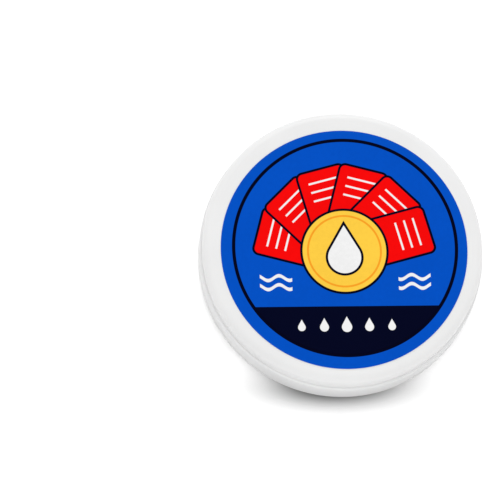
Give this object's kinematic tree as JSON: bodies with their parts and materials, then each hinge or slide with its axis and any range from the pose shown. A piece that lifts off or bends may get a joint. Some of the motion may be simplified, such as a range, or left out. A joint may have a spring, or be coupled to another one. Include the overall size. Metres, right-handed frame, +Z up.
{
  "type": "finger moistener",
  "caption": "Low round white plastic jar of fingertip moistener: a cup with a wax-like cake inside, closed by a push-on lid with a round printed label.",
  "frame": {"origin": "centre of the circle that the jar stands on", "axes": "+Z up out of the lid along the jar's axis; +Y towards the top of the label's design, +X to its right"},
  "size_m": [0.0588, 0.0588, 0.0134],
  "materials": {
    "cup_plastic": "satin white moulded polypropylene",
    "lid_plastic": "satin white moulded polypropylene",
    "label_print": "blue printed label with a gloss varnish",
    "compound": "pale pink wax-like cake with a soft sheen"
  },
  "bodies": {
    "cup": {"base_cup": "cup_plastic", "moistener_compound": "compound"},
    "lid": {"lid": "lid_plastic", "top_label": "label_print"}
  },
  "joints": [
    {"name": "lid_lift", "type": "slide", "parent": "cup", "child": "lid", "axis": [0, 0, 1], "range_m": [0, 0.04]}
  ]
}
